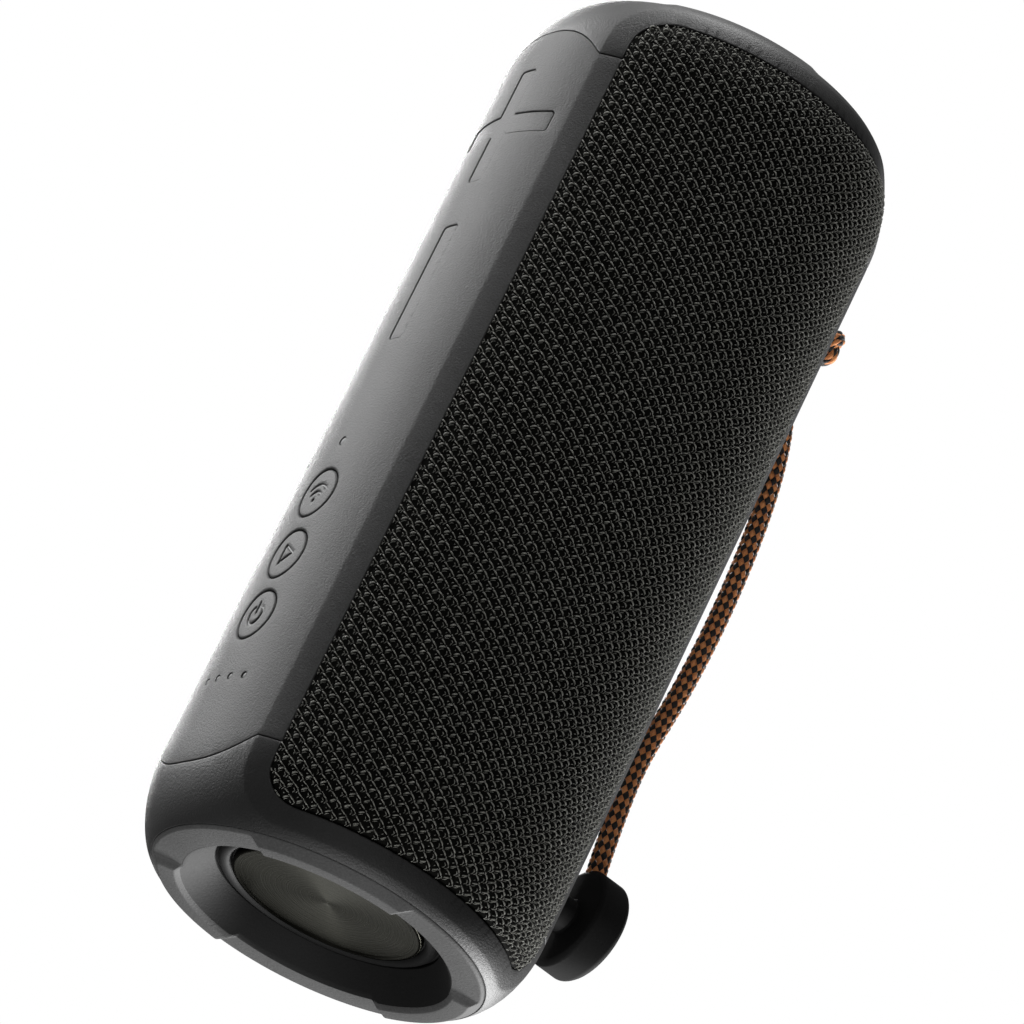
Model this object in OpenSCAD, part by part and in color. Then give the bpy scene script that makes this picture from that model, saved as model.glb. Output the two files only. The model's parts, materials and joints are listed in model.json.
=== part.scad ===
// Portable cylindrical speaker with a strap. It stands on the three lugs of its lower end ring:
// Z runs along the body, the control panel faces -Y, the strap hangs on +Y, the grilles face +X and -X.

/* [Body] */
// Diameter of the body
body_d = 78; // [77:0.5:80]
// Length of the body over the lugs of both end rings
body_l = 188; // [186:1:196]
// Length over which each end rounds in
end_h = 17.2; // [16.5:0.1:18]
// How far each end rounds in, measured along a radius
end_in = 10; // [9.5:0.1:10.5]
// Thickness of the outer covers
wall = 2.2; // [2:0.1:2.4]

/* [Grille windows] */
// Half of the width of a window, seen from the side
window_y = 32.5; // [32:0.1:33]
// Height of a window's lower edge
window_z = 6.6; // [6.2:0.1:7]
// Width of the sloping band around a window, seen from the side
band_w = 3; // [2.6:0.1:3.2]

/* [Panel and back cover] */
// Height at which the end caps meet the panel's bands
seam_z = 18; // [17.6:0.1:18.4]
// How far the panel's rounded end reaches past that height
tongue = 6; // [5:0.5:6]

/* [Keys] */
// Diameter of the three round keys
key_d = 10.3; // [9.6:0.1:10.6]
// Heights of the power, play and wireless keys
key_z = [43.7, 57, 70.5];
// Height of the middle of the minus key
minus_z = 118; // [116:0.5:120]
// Height of the middle of the plus key
plus_z = 154; // [153:0.5:155]
// Length of the minus bar and of the plus key's upright bar
bar_l = 25.5; // [24:0.5:26]
// Width of the minus bar and of the plus key's arms
bar_w = 4.4; // [4:0.1:4.8]
// How far a key travels
key_travel = 0.5; // [0.4:0.05:0.5]

/* [Strap] */
// Diameter of the strap's cord
cord_d = 3.8; // [3.4:0.1:4]
// Diameter of the strap's rubber button
button_d = 21; // [20:0.5:22]
// Height of the strap's rubber button
button_z = 32; // [31:0.5:33]

/* [Hidden] */

$fn = 96;
body_r = body_d / 2;
rim_r = body_r - end_in;         // radius of the flat ring of each end before it rounds out
clear = 0.15;                    // gap between neighbouring pieces

// Chassis, the sealed tube that carries everything
tube_r = body_r - 4;
tube_wall = 2.2;
tube_front = -31.8;
tube_back = 28;
flange_z = 11.1;
flange_t = 2.5;
port_r = 25;
boss_r = 29.5;
boss_a = 45;

// End ring and passive radiator
ring_r = 33.2;
ring_mouth = 27.4;
ring_throat = 22.4;
lug_h = 1.2;
gap_half = 32;
disc_r = 19;
disc_z = 5.6;
frame_z = 6.9;

// Drivers
driver_r = 23;
driver_x = 24;
bore_r = 20;
driver_z = [62, 126];
driver_screw_r = 21.3;

// Boards and keys
board_front = -33.1;
mat_front = -34.35;
mat_t = 0.4;
board_t = 1.2;
main_y = 29.6;
led_z = 30;
led_step = 4.2;
lamp_z = 82;
arm_half = 13.2;
key_sink = 0.4;

// Charging port, turned from +Y towards -X
port_turn = 13;
port_z = 97;
port_half_x = 5.1;
port_half_z = 12;
flap_t = 1.4;
hinge_r = 0.7;
hinge_x = -port_half_x + hinge_r;
hinge_y = sqrt(pow(body_r, 2) - pow(port_half_x, 2)) - hinge_r;

// Strap
anchor_z = 152.5;
anchor_w = 11;
anchor_l = 24;
bridge_y = 38.9;
bridge_t = 2;
button_y = [45.2, 52.8];
post_d = 7;
cord_route = [
    [47.6, 41.6], [47.2, 44.4], [46.8, 47.5], [46.4, 51], [46, 55], [45.6, 60], [45.5, 65],
    [45.8, 70.5], [46.4, 76], [47, 82], [47.4, 88.5], [47.6, 95], [47.6, 102], [47.4, 109],
    [47, 115.5], [46.4, 122], [45.5, 128.5], [44.4, 134], [43, 139], [41.2, 143.2], [39, 146.8],
    [37.4, 149.9], [36.9, 152.6], [37.5, 155.6], [39.3, 158.2]
];
knot_at = [0, 43, 160.4];
knot_r = 4.3;

// ---- outlines -----------------------------------------------------------------------------

// One end's rounding, set in by t, from the height of its start to the full radius
function end_arc(t, from = 0) = [
    for (i = [0:12])
        let(a = from + (90 - from) * i / 12)
            [rim_r + (end_in - t) * sin(a), end_h - (end_h - t) * cos(a)]
];

function flipped(points) = [for (i = [len(points) - 1:-1:0]) [points[i].x, body_l - points[i].y]];

function whole_side(t) = concat(end_arc(t), flipped(end_arc(t)));

// The body's outer form, set in by t
module form(t) {
    rotate_extrude()
        polygon(concat([[0, t]], whole_side(t), [[0, body_l - t]]));
}

module skin(t0, t1) {
    difference() {
        form(t0);
        form(t1);
    }
}

// A window's outline seen from the side, grown by g, with elliptical corners
module window_outline(g) {
    half = window_y + g;
    z0 = window_z - g;
    z1 = body_l - z0;
    corner_y = 5 + g;
    corner_z = 7.5 + g;
    polygon([
        for (c = [[1, 0], [-1, 90], [-1, 180], [1, 270]])
            for (i = [0:6])
                let(a = c.y + 15 * i, up = a < 180 ? 1 : -1)
                    [c.x * (half - corner_y) + corner_y * cos(a),
                     (up > 0 ? z1 - corner_z : z0 + corner_z) + corner_z * sin(a)]
    ]);
}

// A solid with the window's outline, on the +X side
module window_prism(g) {
    translate([12, 0, 0])
        rotate([90, 0, 90])
            linear_extrude(30)
                window_outline(g);
}

module both_sides() {
    children();
    mirror([1, 0, 0])
        children();
}

module upside_down() {
    translate([0, 0, body_l])
        mirror([0, 0, 1])
            children();
}

// Outline of the panel and of the back cover, shrunk by g
module strip_outline(g) {
    edge_x = sqrt(pow(body_r, 2) - pow(window_y + band_w, 2));
    side_x = sqrt(pow(body_r, 2) - pow(window_y, 2)) + 2;
    arc_r = (pow(edge_x, 2) + pow(tongue, 2)) / (2 * tongue);
    half_a = asin(edge_x / arc_r);
    low = [
        for (i = [-6:6])
            let(a = half_a * i / 6)
                [arc_r * sin(a), seam_z - tongue + arc_r * (1 - cos(a)) + g]
    ];
    high = [for (i = [6:-1:-6]) [low[i + 6].x, body_l - low[i + 6].y]];
    polygon(concat([[-side_x, seam_z + g]], low, [[side_x, seam_z + g], [side_x, body_l - seam_z - g]],
        high, [[-side_x, body_l - seam_z - g]]));
}

// A prism of a 2D outline of X and Z, from y0 to y1
module along_y(y0, y1) {
    translate([0, y1, 0])
        rotate([90, 0, 0])
            linear_extrude(y1 - y0)
                children();
}

// Direction of the route r at its point i
function along(r, i) =
    let(d = r[min(i + 1, len(r) - 1)] - r[max(i - 1, 0)])
        d / norm(d);

function unit(v) = v / norm(v);

// A tube along the route r, with n sides that start from the direction ref
module swept(r, d, n, ref) {
    rings = [
        for (i = [0:len(r) - 1])
            let(t = along(r, i), up = unit(cross(t, ref)), out = cross(up, t))
                for (k = [0:n - 1])
                    r[i] + d / 2 * (cos(360 * k / n) * out + sin(360 * k / n) * up)
    ];
    sides = [
        for (i = [0:len(r) - 2])
            for (k = [0:n - 1])
                let(a = i * n + k, b = i * n + (k + 1) % n)
                    each [[a, b + n, b], [a, a + n, b + n]]
    ];
    first = [for (k = [0:n - 1]) k];
    last = [for (k = [n - 1:-1:0]) (len(r) - 1) * n + k];
    polyhedron(points = rings, faces = concat(sides, [first, last]), convexity = 4);
}

module screw(d, l, head_d, head_h) {
    cylinder(d = d, h = l, $fn = 32);
    translate([0, 0, -head_h])
        difference() {
            cylinder(d = head_d, h = head_h, $fn = 32);
            translate([0, 0, -0.1])
                cylinder(d = head_d * 0.45, h = head_h * 0.6, $fn = 6);
        }
}

// ---- outer covers -------------------------------------------------------------------------

module strip_solid(side, g) {
    if (side < 0)
        along_y(-45, -20)
            strip_outline(g);
    else
        along_y(20, 45)
            strip_outline(g);
}

// The shallow step of the band around a window
module band_step() {
    both_sides()
        difference() {
            window_prism(band_w);
            form(0.5);
        }
}

module end_cap() {
    difference() {
        union() {
            rotate_extrude()
                polygon(concat(end_arc(0, 25.5), [[body_r, 24]], [[body_r - wall, 24]],
                    [for (i = [12:-1:4]) end_arc(wall)[i]], [[33.4, 4]]));
            translate([0, 0, 8.8])
                difference() {
                    cylinder(r = 35.9, h = 1.8);
                    translate([0, 0, -1])
                        cylinder(r = port_r + 0.6, h = 4);
                }
        }
        translate([0, 0, seam_z])
            cylinder(r = 50, h = 20);
        strip_solid(-1, -clear);
        strip_solid(1, -clear);
        both_sides()
            difference() {
                window_prism(0);
                form(3.9);
            }
        band_step();
        for (a = [boss_a:90:359])
            rotate([0, 0, a])
                translate([boss_r, 0, 5])
                    cylinder(d = 2.8, h = 10, $fn = 32);
    }
}

module lower_cap() {
    color([0.16, 0.16, 0.17])
        end_cap();
}

module upper_cap() {
    color([0.16, 0.16, 0.17])
        upside_down()
            end_cap();
}

module plus_outline(g) {
    square([bar_w + 2 * g, bar_l + 2 * g], center = true);
    square([2 * (arm_half + g), bar_w + 2 * g], center = true);
}

module minus_outline(g) {
    square([bar_w + 2 * g, bar_l + 2 * g], center = true);
}

module strip_cover(side) {
    difference() {
        intersection() {
            skin(0, wall + 0.2);
            strip_solid(side, 0);
        }
        both_sides()
            difference() {
                window_prism(0);
                form(12);
            }
        band_step();
    }
}

module control_panel() {
    color([0.20, 0.20, 0.21])
        difference() {
            strip_cover(-1);
            along_y(-45, -20) {
                for (z = key_z)
                    translate([0, z])
                        circle(d = key_d + 0.6);
                translate([0, minus_z])
                    minus_outline(0.3);
                translate([0, plus_z])
                    plus_outline(0.3);
                for (i = [-1.5:1:1.5])
                    translate([i * led_step, led_z])
                        circle(d = 1.2, $fn = 24);
                translate([0, lamp_z])
                    circle(d = 1.7, $fn = 24);
            }
        }
}

module port_outline(g) {
    square([2 * (port_half_x + g), 2 * (port_half_z + g)], center = true);
}

module at_port() {
    rotate([0, 0, port_turn])
        translate([0, 0, port_z])
            children();
}

module stadium(w, l) {
    circle_y = (l - w) / 2;
    square([w, l - w], center = true);
    for (s = [-1, 1])
        translate([0, s * circle_y])
            circle(d = w);
}

module back_cover() {
    color([0.18, 0.18, 0.19])
        difference() {
            strip_cover(1);
            at_port()
                difference() {
                    along_y(20, 45)
                        port_outline(clear);
                    cylinder(r = body_r - flap_t - clear, h = 60, center = true);
                }
            at_port()
                along_y(20, 45)
                    translate([0.6, 0])
                        square([6.4, 18], center = true);
            along_y(20, 45)
                translate([0, anchor_z])
                    stadium(anchor_w + 0.2, anchor_l + 0.2);
            along_y(20, 45)
                translate([0, button_z])
                    circle(d = 3.2, $fn = 32);
        }
}

// ---- grilles ------------------------------------------------------------------------------

module grille_fabric() {
    intersection() {
        skin(0.75, 1.65);
        window_prism(-0.1);
    }
}

module grille_frame() {
    intersection() {
        skin(1.8, 3.2);
        translate([12, 0, 0])
            rotate([90, 0, 90])
                linear_extrude(30)
                    difference() {
                        window_outline(-0.2);
                        for (y = [-2:2])
                            for (z = [-7:7])
                                translate([y * 11.4, body_l / 2 + z * 10.6])
                                    square([8, 7.4], center = true);
                    }
    }
}

module right_grille_fabric() {
    color([0.06, 0.06, 0.06])
        grille_fabric();
}

module left_grille_fabric() {
    color([0.06, 0.06, 0.06])
        mirror([1, 0, 0])
            grille_fabric();
}

module right_grille_frame() {
    color([0.1, 0.1, 0.1])
        grille_frame();
}

module left_grille_frame() {
    color([0.1, 0.1, 0.1])
        mirror([1, 0, 0])
            grille_frame();
}

// ---- chassis ------------------------------------------------------------------------------

module tube_outline(t) {
    intersection() {
        circle(r = tube_r - t);
        translate([-50, tube_front + t])
            square([100, tube_back - tube_front - 2 * t]);
    }
}

module at_driver(i) {
    translate([0, 0, driver_z[i]])
        mirror([i, 0, 0])
            rotate([0, 90, 0])
                children();
}

module tube_end() {
    translate([0, 0, flange_z])
        linear_extrude(flange_t)
            difference() {
                tube_outline(0);
                circle(r = port_r);
            }
    for (a = [boss_a:90:359])
        rotate([0, 0, a])
            translate([boss_r, 0, flange_z])
                cylinder(d = 6.4, h = 10, $fn = 32);
}

module tube_end_holes() {
    for (a = [boss_a:90:359])
        rotate([0, 0, a])
            translate([boss_r, 0, flange_z - 1])
                cylinder(d = 2.3, h = 10, $fn = 32);
}

module chassis() {
    color([0.13, 0.13, 0.14])
        difference() {
            union() {
                translate([0, 0, flange_z])
                    linear_extrude(body_l - 2 * flange_z)
                        difference() {
                            tube_outline(0);
                            tube_outline(tube_wall);
                        }
                intersection() {
                    translate([0, 0, flange_z])
                        linear_extrude(body_l - 2 * flange_z)
                            tube_outline(0);
                    for (i = [0, 1])
                        at_driver(i)
                            translate([0, 0, driver_x - 2.5])
                                cylinder(r = driver_r + 3, h = 20);
                }
                tube_end();
                upside_down()
                    tube_end();
                for (x = [-11, 11])
                    for (z = [64, 130])
                        translate([x, tube_back - 0.5, z])
                            rotate([-90, 0, 0])
                                cylinder(d = 4.6, h = 2, $fn = 32);
            }
            for (i = [0, 1])
                at_driver(i) {
                    translate([0, 0, driver_x])
                        cylinder(r = driver_r + 0.3, h = 20);
                    cylinder(r = bore_r, h = 40);
                    for (a = [boss_a:90:359])
                        rotate([0, 0, a])
                            translate([driver_screw_r, 0, driver_x - 2])
                                cylinder(d = 1.6, h = 5, $fn = 24);
                }
            tube_end_holes();
            upside_down()
                tube_end_holes();
            for (x = [-11, 11])
                for (z = [64, 130])
                    translate([x, tube_back + 2, z])
                        rotate([90, 0, 0])
                            cylinder(d = 1.6, h = 3, $fn = 24);
            for (x = [-9, 9])
                for (z = [36, 92])
                    translate([x, tube_front - 1, z])
                        rotate([-90, 0, 0])
                            cylinder(d = 1.6, h = 2.6, $fn = 24);
            translate([0, tube_front - 1, 92])
                rotate([-90, 0, 0])
                    cylinder(d = 6, h = 5, $fn = 32);
            translate([0, tube_back + 1, 97])
                rotate([90, 0, 0])
                    cylinder(d = 6, h = 5, $fn = 32);
        }
}

// ---- ends ---------------------------------------------------------------------------------

module end_ring() {
    difference() {
        rotate_extrude()
            polygon([[ring_throat, 6.2], [ring_mouth, 0.5], [ring_mouth + 0.5, 0], [31.2, 0], [ring_r, 1.7],
                [ring_r, 4.1], [27, 4.1], [26.2, 6.7], [ring_throat, 6.7]]);
        for (a = [0:120:240])
            rotate([0, 0, a - 90 - gap_half])
                rotate_extrude(angle = 2 * gap_half)
                    polygon([[20, -2], [40, -2], [40, lug_h], [20, lug_h]]);
    }
}

module lower_end_ring() {
    color([0.17, 0.17, 0.18])
        end_ring();
}

module upper_end_ring() {
    color([0.17, 0.17, 0.18])
        upside_down()
            end_ring();
}

module radiator_disc() {
    rotate_extrude()
        polygon([[0, disc_z + 0.6], [12, disc_z + 0.2], [disc_r, disc_z], [disc_r, disc_z + 1.1],
            [12, disc_z + 1.3], [12, disc_z + 4], [0, disc_z + 4]]);
}

module lower_radiator_disc() {
    color([0.24, 0.23, 0.2])
        radiator_disc();
}

module upper_radiator_disc() {
    color([0.24, 0.23, 0.2])
        upside_down()
            radiator_disc();
}

module radiator_surround() {
    mid = (disc_r + ring_throat) / 2;
    roll = mid - disc_r - 0.3;
    rotate_extrude()
        difference() {
            union() {
                translate([mid, frame_z + 0.2])
                    circle(r = roll);
                translate([15, frame_z])
                    square([mid - 15, 0.55]);
                translate([mid, frame_z])
                    square([26.4 - mid, 0.55]);
            }
            translate([mid, frame_z + 0.2])
                circle(r = roll - 0.6);
            translate([mid - roll - 0.2, frame_z + 0.55])
                square([2 * roll + 0.4, 5]);
        }
}

module lower_radiator_surround() {
    color([0.05, 0.05, 0.05])
        radiator_surround();
}

module upper_radiator_surround() {
    color([0.05, 0.05, 0.05])
        upside_down()
            radiator_surround();
}

module radiator_frame() {
    difference() {
        rotate_extrude()
            polygon([[24, 7.55], [26.6, 7.55], [26.6, frame_z], [33, frame_z], [33, 8.7], [24, 8.7]]);
        for (a = [boss_a:90:359])
            rotate([0, 0, a])
                translate([boss_r, 0, 5])
                    cylinder(d = 2.8, h = 10, $fn = 32);
    }
}

module lower_radiator_frame() {
    color([0.12, 0.12, 0.12])
        radiator_frame();
}

module upper_radiator_frame() {
    color([0.12, 0.12, 0.12])
        upside_down()
            radiator_frame();
}

module cap_gasket() {
    translate([0, 0, 10.65])
        difference() {
            cylinder(r = 33, h = 0.4);
            translate([0, 0, -1])
                cylinder(r = port_r + 0.6, h = 3);
            for (a = [boss_a:90:359])
                rotate([0, 0, a])
                    translate([boss_r, 0, -1])
                        cylinder(d = 2.8, h = 3, $fn = 32);
        }
}

module lower_cap_gasket() {
    color([0.08, 0.08, 0.08])
        cap_gasket();
}

module upper_cap_gasket() {
    color([0.08, 0.08, 0.08])
        upside_down()
            cap_gasket();
}

module end_screws() {
    for (a = [boss_a:90:359])
        rotate([0, 0, a])
            translate([boss_r, 0, frame_z - 0.05])
                screw(2.2, 12, 4.6, 1.8);
}

module cap_screws() {
    color([0.5, 0.5, 0.52]) {
        end_screws();
        upside_down()
            end_screws();
    }
}

// ---- drivers ------------------------------------------------------------------------------

module driver_basket(i) {
    color([0.1, 0.1, 0.1])
        at_driver(i)
            difference() {
                rotate_extrude()
                    polygon([[19.4, driver_x + 0.05], [driver_r, driver_x + 0.05], [driver_r, driver_x + 1.8],
                        [18.4, driver_x + 1.8], [18.4, driver_x], [13.5, 10], [13.5, 8.1], [15.2, 8.1],
                        [15.2, 9.6]]);
                for (a = [boss_a:90:359])
                    rotate([0, 0, a])
                        translate([driver_screw_r, 0, driver_x - 1])
                            cylinder(d = 2.1, h = 5, $fn = 24);
                for (a = [0:90:359])
                    rotate([0, 0, a])
                        translate([16, 0, 16])
                            cube([14, 12, 8], center = true);
            }
}

module driver_magnet(i) {
    color([0.35, 0.35, 0.36])
        at_driver(i)
            difference() {
                translate([0, 0, -4])
                    cylinder(r = 15.2, h = 12);
                translate([0, 0, 1])
                    difference() {
                        cylinder(r = 7.6, h = 8);
                        translate([0, 0, -1])
                            cylinder(r = 6, h = 10);
                    }
            }
}

module driver_cone(i) {
    color([0.15, 0.15, 0.16])
        at_driver(i) {
            rotate_extrude()
                polygon([[6.6, 4], [7, 4], [7, 15.6], [16.4, driver_x - 0.2], [16.4, driver_x + 0.4],
                    [7.4, 17], [6.6, 17]]);
            difference() {
                translate([0, 0, 13.4])
                    sphere(r = 7.9);
                translate([0, 0, 13.4])
                    sphere(r = 7.5);
                translate([-10, -10, 0])
                    cube([20, 20, 16.6]);
            }
        }
}

module driver_surround(i) {
    color([0.06, 0.06, 0.06])
        at_driver(i)
            rotate_extrude()
                difference() {
                    union() {
                        translate([17.6, driver_x + 2])
                            circle(r = 1.5);
                        translate([15.2, driver_x + 2])
                            square([4.3, 0.4]);
                    }
                    translate([17.6, driver_x + 2])
                        circle(r = 1);
                    translate([15, driver_x])
                        square([6, 2]);
                }
}

module right_driver_basket() {
    driver_basket(0);
}

module left_driver_basket() {
    driver_basket(1);
}

module right_driver_magnet() {
    driver_magnet(0);
}

module left_driver_magnet() {
    driver_magnet(1);
}

module right_driver_cone() {
    driver_cone(0);
}

module left_driver_cone() {
    driver_cone(1);
}

module right_driver_surround() {
    driver_surround(0);
}

module left_driver_surround() {
    driver_surround(1);
}

module driver_screws() {
    color([0.45, 0.45, 0.47])
        for (i = [0, 1])
            at_driver(i)
                for (a = [boss_a:90:359])
                    rotate([0, 0, a])
                        translate([driver_screw_r, 0, driver_x + 1.85])
                            mirror([0, 0, 1])
                                screw(1.5, 3.6, 3, 1);
}

// ---- keys and lights ----------------------------------------------------------------------

// A key: its outline's prism up to sink below the panel's face, a flange behind the panel, a plunger
module key_body(z, sink) {
    intersection() {
        form(sink);
        along_y(-45, -36.1)
            translate([0, z])
                children(0);
    }
    intersection() {
        difference() {
            cylinder(r = body_r - wall - 0.35, h = body_l);
            translate([0, 0, -1])
                cylinder(r = body_r - wall - 1.25, h = body_l + 2);
        }
        along_y(-45, -20)
            translate([0, z])
                children(1);
    }
    along_y(-36, mat_front - key_travel - 0.05)
        translate([0, z])
            circle(d = 3, $fn = 32);
}

module round_key(z) {
    color([0.2, 0.2, 0.21])
        key_body(z, 0.1) {
            circle(d = key_d);
            circle(d = key_d + 2);
        }
}

module power_key() {
    round_key(key_z[0]);
}

module play_key() {
    round_key(key_z[1]);
}

module wireless_key() {
    round_key(key_z[2]);
}

module minus_key() {
    color([0.2, 0.2, 0.21])
        key_body(minus_z, key_sink) {
            minus_outline(0);
            minus_outline(1);
        }
}

module plus_key() {
    color([0.2, 0.2, 0.21])
        key_body(plus_z, key_sink) {
            plus_outline(0);
            plus_outline(0.8);
        }
}

module keypad_mat() {
    color([0.3, 0.3, 0.3])
        along_y(mat_front, mat_front + mat_t)
            difference() {
                translate([-6.5, 37])
                    square([13, 123]);
                translate([0, lamp_z])
                    circle(d = 3, $fn = 32);
            }
}

module tact_switches() {
    color([0.75, 0.75, 0.75])
        for (z = concat(key_z, [minus_z, plus_z])) {
            translate([-2.6, board_front - 0.5, z - 2.6])
                cube([5.2, 0.45, 5.2]);
            along_y(mat_front + mat_t + 0.05, board_front - 0.4)
                translate([0, z])
                    circle(d = 2.2, $fn = 24);
        }
}

module button_board() {
    color([0.05, 0.25, 0.12])
        along_y(board_front, board_front + board_t)
            difference() {
                translate([-11, 25])
                    square([22, 138]);
                for (x = [-9, 9])
                    for (z = [36, 92])
                        translate([x, z])
                            circle(d = 2, $fn = 24);
                translate([0, 92])
                    circle(d = 4, $fn = 32);
            }
}

module battery_light_pipes() {
    color([0.85, 0.85, 0.85]) {
        for (i = [-1.5:1:1.5])
            along_y(-body_r + 0.5, -34.4)
                translate([i * led_step, led_z])
                    circle(d = 1.1, $fn = 24);
        translate([-8, -34.6, led_z - 1])
            cube([16, 1.2, 2]);
    }
}

module indicator_lens() {
    color([0.9, 0.9, 0.9])
        along_y(-body_r + 0.15, board_front - 0.1)
            translate([0, lamp_z])
                circle(d = 1.6, $fn = 24);
}

// ---- electronics --------------------------------------------------------------------------

module main_board() {
    color([0.05, 0.25, 0.12]) {
        along_y(main_y, main_y + board_t)
            difference() {
                translate([-14, 58])
                    square([28, 78]);
                for (x = [-11, 11])
                    for (z = [64, 130])
                        translate([x, z])
                            circle(d = 2.2, $fn = 24);
                translate([0, 97])
                    circle(d = 5, $fn = 32);
            }
        for (c = [[3, 118, 9, 9, 1.2], [-8, 116, 6, 6, 1.2], [3, 76, 7, 5, 2.4], [-9, 74, 5, 7, 3]])
            translate([c[0], main_y + board_t - 0.01, c[1]])
                cube([c[2], c[4], c[3]]);
    }
}

module usb_socket() {
    color([0.7, 0.7, 0.72])
        translate([-8.4, 0, port_z])
            difference() {
                translate([-1.6, main_y + board_t + 0.02, -4.5])
                    cube([3.2, 4.4, 9]);
                translate([-1.2, main_y + board_t + 1.2, -4.1])
                    difference() {
                        cube([2.4, 5, 8.2]);
                        translate([0.9, -1, 1])
                            cube([0.6, 5, 6.2]);
                    }
            }
}

module board_screws() {
    color([0.5, 0.5, 0.52]) {
        for (x = [-11, 11])
            for (z = [64, 130])
                translate([x, main_y + board_t + 0.05, z])
                    rotate([90, 0, 0])
                        screw(1.5, 3.8, 3.4, 1);
        for (x = [-9, 9])
            for (z = [36, 92])
                translate([x, board_front - 0.05, z])
                    rotate([-90, 0, 0])
                        screw(1.5, 2.6, 3, 0.6);
    }
}

module battery_cells() {
    color([0.15, 0.3, 0.6])
        for (y = [-9.4, 9.4])
            translate([-18, y, 30]) {
                cylinder(d = 18.2, h = 64);
                cylinder(d = 6, h = 65, $fn = 48);
            }
}

module battery_holder() {
    color([0.08, 0.08, 0.08])
        difference() {
            translate([-28, -20, 27])
                cube([14, 40, 71]);
            for (y = [-9.4, 9.4])
                translate([-18, y, 29.8])
                    cylinder(d = 18.6, h = 65.6);
            translate([-21, -30, 34])
                cube([10, 60, 56]);
            difference() {
                translate([-40, -40, 20])
                    cube([80, 80, 90]);
                cylinder(r = tube_r - tube_wall - 0.2, h = 120);
            }
        }
}

module grommet() {
    difference() {
        union() {
            cylinder(d = 5.9, h = 3, $fn = 32);
            translate([0, 0, 2.25])
                cylinder(d = 8, h = 1, $fn = 32);
        }
        translate([0, 0, -1])
            cylinder(d = 4, h = 6, $fn = 32);
    }
}

module cable_grommets() {
    color([0.05, 0.05, 0.05]) {
        translate([0, tube_front, 92])
            rotate([-90, 0, 0])
                grommet();
        translate([0, tube_back, 97])
            rotate([90, 0, 0])
                grommet();
    }
}

module battery_lead() {
    color([0.7, 0.1, 0.1])
        swept([[0.7, 30.6, 97.6], [0.7, 27, 97.6], [0.4, 22.5, 97.8], [-1.5, 17.5, 98.2],
            [-5.5, 13, 98.8], [-10.5, 10.2, 99.8], [-15, 9.4, 100.2], [-17.4, 9.4, 99.4],
            [-18, 9.4, 98.05]], 1.2, 6, [0.3, 0.2, 1]);
}

module driver_leads() {
    color([0.1, 0.1, 0.1]) {
        swept([[-0.7, 30.6, 95.9], [-0.7, 27, 95.9], [-0.6, 24.3, 95.9], [0, 21.6, 94.6], [1.6, 18.6, 91.5],
            [3.2, 17, 87], [4.6, 16.2, 80], [5.2, 16, 72], [5, 15.9, 64]], 1.1, 6, [1, 0, 0.2]);
        swept([[-0.7, 30.6, 97.5], [-0.7, 27, 97.5], [-0.8, 24.3, 97.6], [-1.2, 21.8, 99], [-2, 19.4, 102],
            [-3.4, 17.4, 107], [-4.6, 16.4, 113], [-5, 16, 119], [-5, 15.9, 124]], 1.1, 6, [1, 0, 0.2]);
    }
}

module button_lead() {
    color([0.1, 0.1, 0.1])
        swept([[0, -32.4, 92], [0, -27, 92], [1.5, -22, 92.4], [6, -15, 93.4], [9.4, -7, 94.4], [10.4, 2, 95],
            [9.4, 11, 95.4], [5.5, 18, 95.8], [1.6, 22.6, 96], [0.7, 27, 96], [0.7, 30.6, 96]], 1.2, 6, [0, 0, 1]);
}

// ---- charging port ------------------------------------------------------------------------

module port_cover() {
    color([0.12, 0.12, 0.12])
        at_port() {
            intersection() {
                difference() {
                    cylinder(r = body_r - 0.05, h = 60, center = true);
                    cylinder(r = body_r - flap_t, h = 61, center = true);
                }
                translate([hinge_x, 20, -port_half_z])
                    cube([port_half_x - hinge_x, 30, 2 * port_half_z]);
            }
            translate([hinge_x, hinge_y, -port_half_z])
                cylinder(r = hinge_r, h = 2 * port_half_z, $fn = 32);
            translate([-0.8, body_r - flap_t - 1, -3.9])
                cube([1.8, 1.4, 7.8]);
        }
}

// ---- strap --------------------------------------------------------------------------------

module strap_cord() {
    color([0.78, 0.45, 0.2])
        swept([for (p = cord_route) [0, p.x, p.y]], cord_d, 8, [1, 0, 0]);
}

module strap_knot() {
    color([0.78, 0.45, 0.2])
        translate(knot_at)
            rotate([-90, 0, 0])
                rotate_extrude()
                    polygon([[0, -knot_r + 0.6], [2, -knot_r + 0.6],
                        for (a = [-50:10:80]) knot_r * [cos(a), sin(a)], [0, knot_r]]);
}

module strap_button() {
    color([0.1, 0.1, 0.11])
        difference() {
            translate([0, button_y[0], button_z])
                rotate([-90, 0, 0])
                    rotate_extrude()
                        polygon([[0, 0], [button_d / 2 - 1.4, 0], [button_d / 2 - 0.4, 0.4],
                            [button_d / 2, 1.4], [button_d / 2, 5.4], [button_d / 2 - 0.6, 6.9],
                            [button_d / 2 - 2, 7.6], [0, 7.6]]);
            translate([0, cord_route[0].x, cord_route[0].y - 0.1])
                rotate([4, 0, 0])
                    cylinder(d = cord_d + 0.1, h = 10);
        }
}

module strap_post() {
    color([0.12, 0.12, 0.13])
        difference() {
            translate([0, body_r - 0.05, button_z])
                rotate([-90, 0, 0])
                    cylinder(d = post_d, h = button_y[0] - body_r);
            translate([0, body_r - 2, button_z])
                rotate([-90, 0, 0])
                    cylinder(d = 2.4, h = 6.4, $fn = 32);
        }
}

module strap_screw() {
    color([0.5, 0.5, 0.52])
        translate([0, body_r - wall - 0.25, button_z])
            rotate([-90, 0, 0])
                screw(2.3, 7.4, 4.6, 1.8);
}

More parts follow.
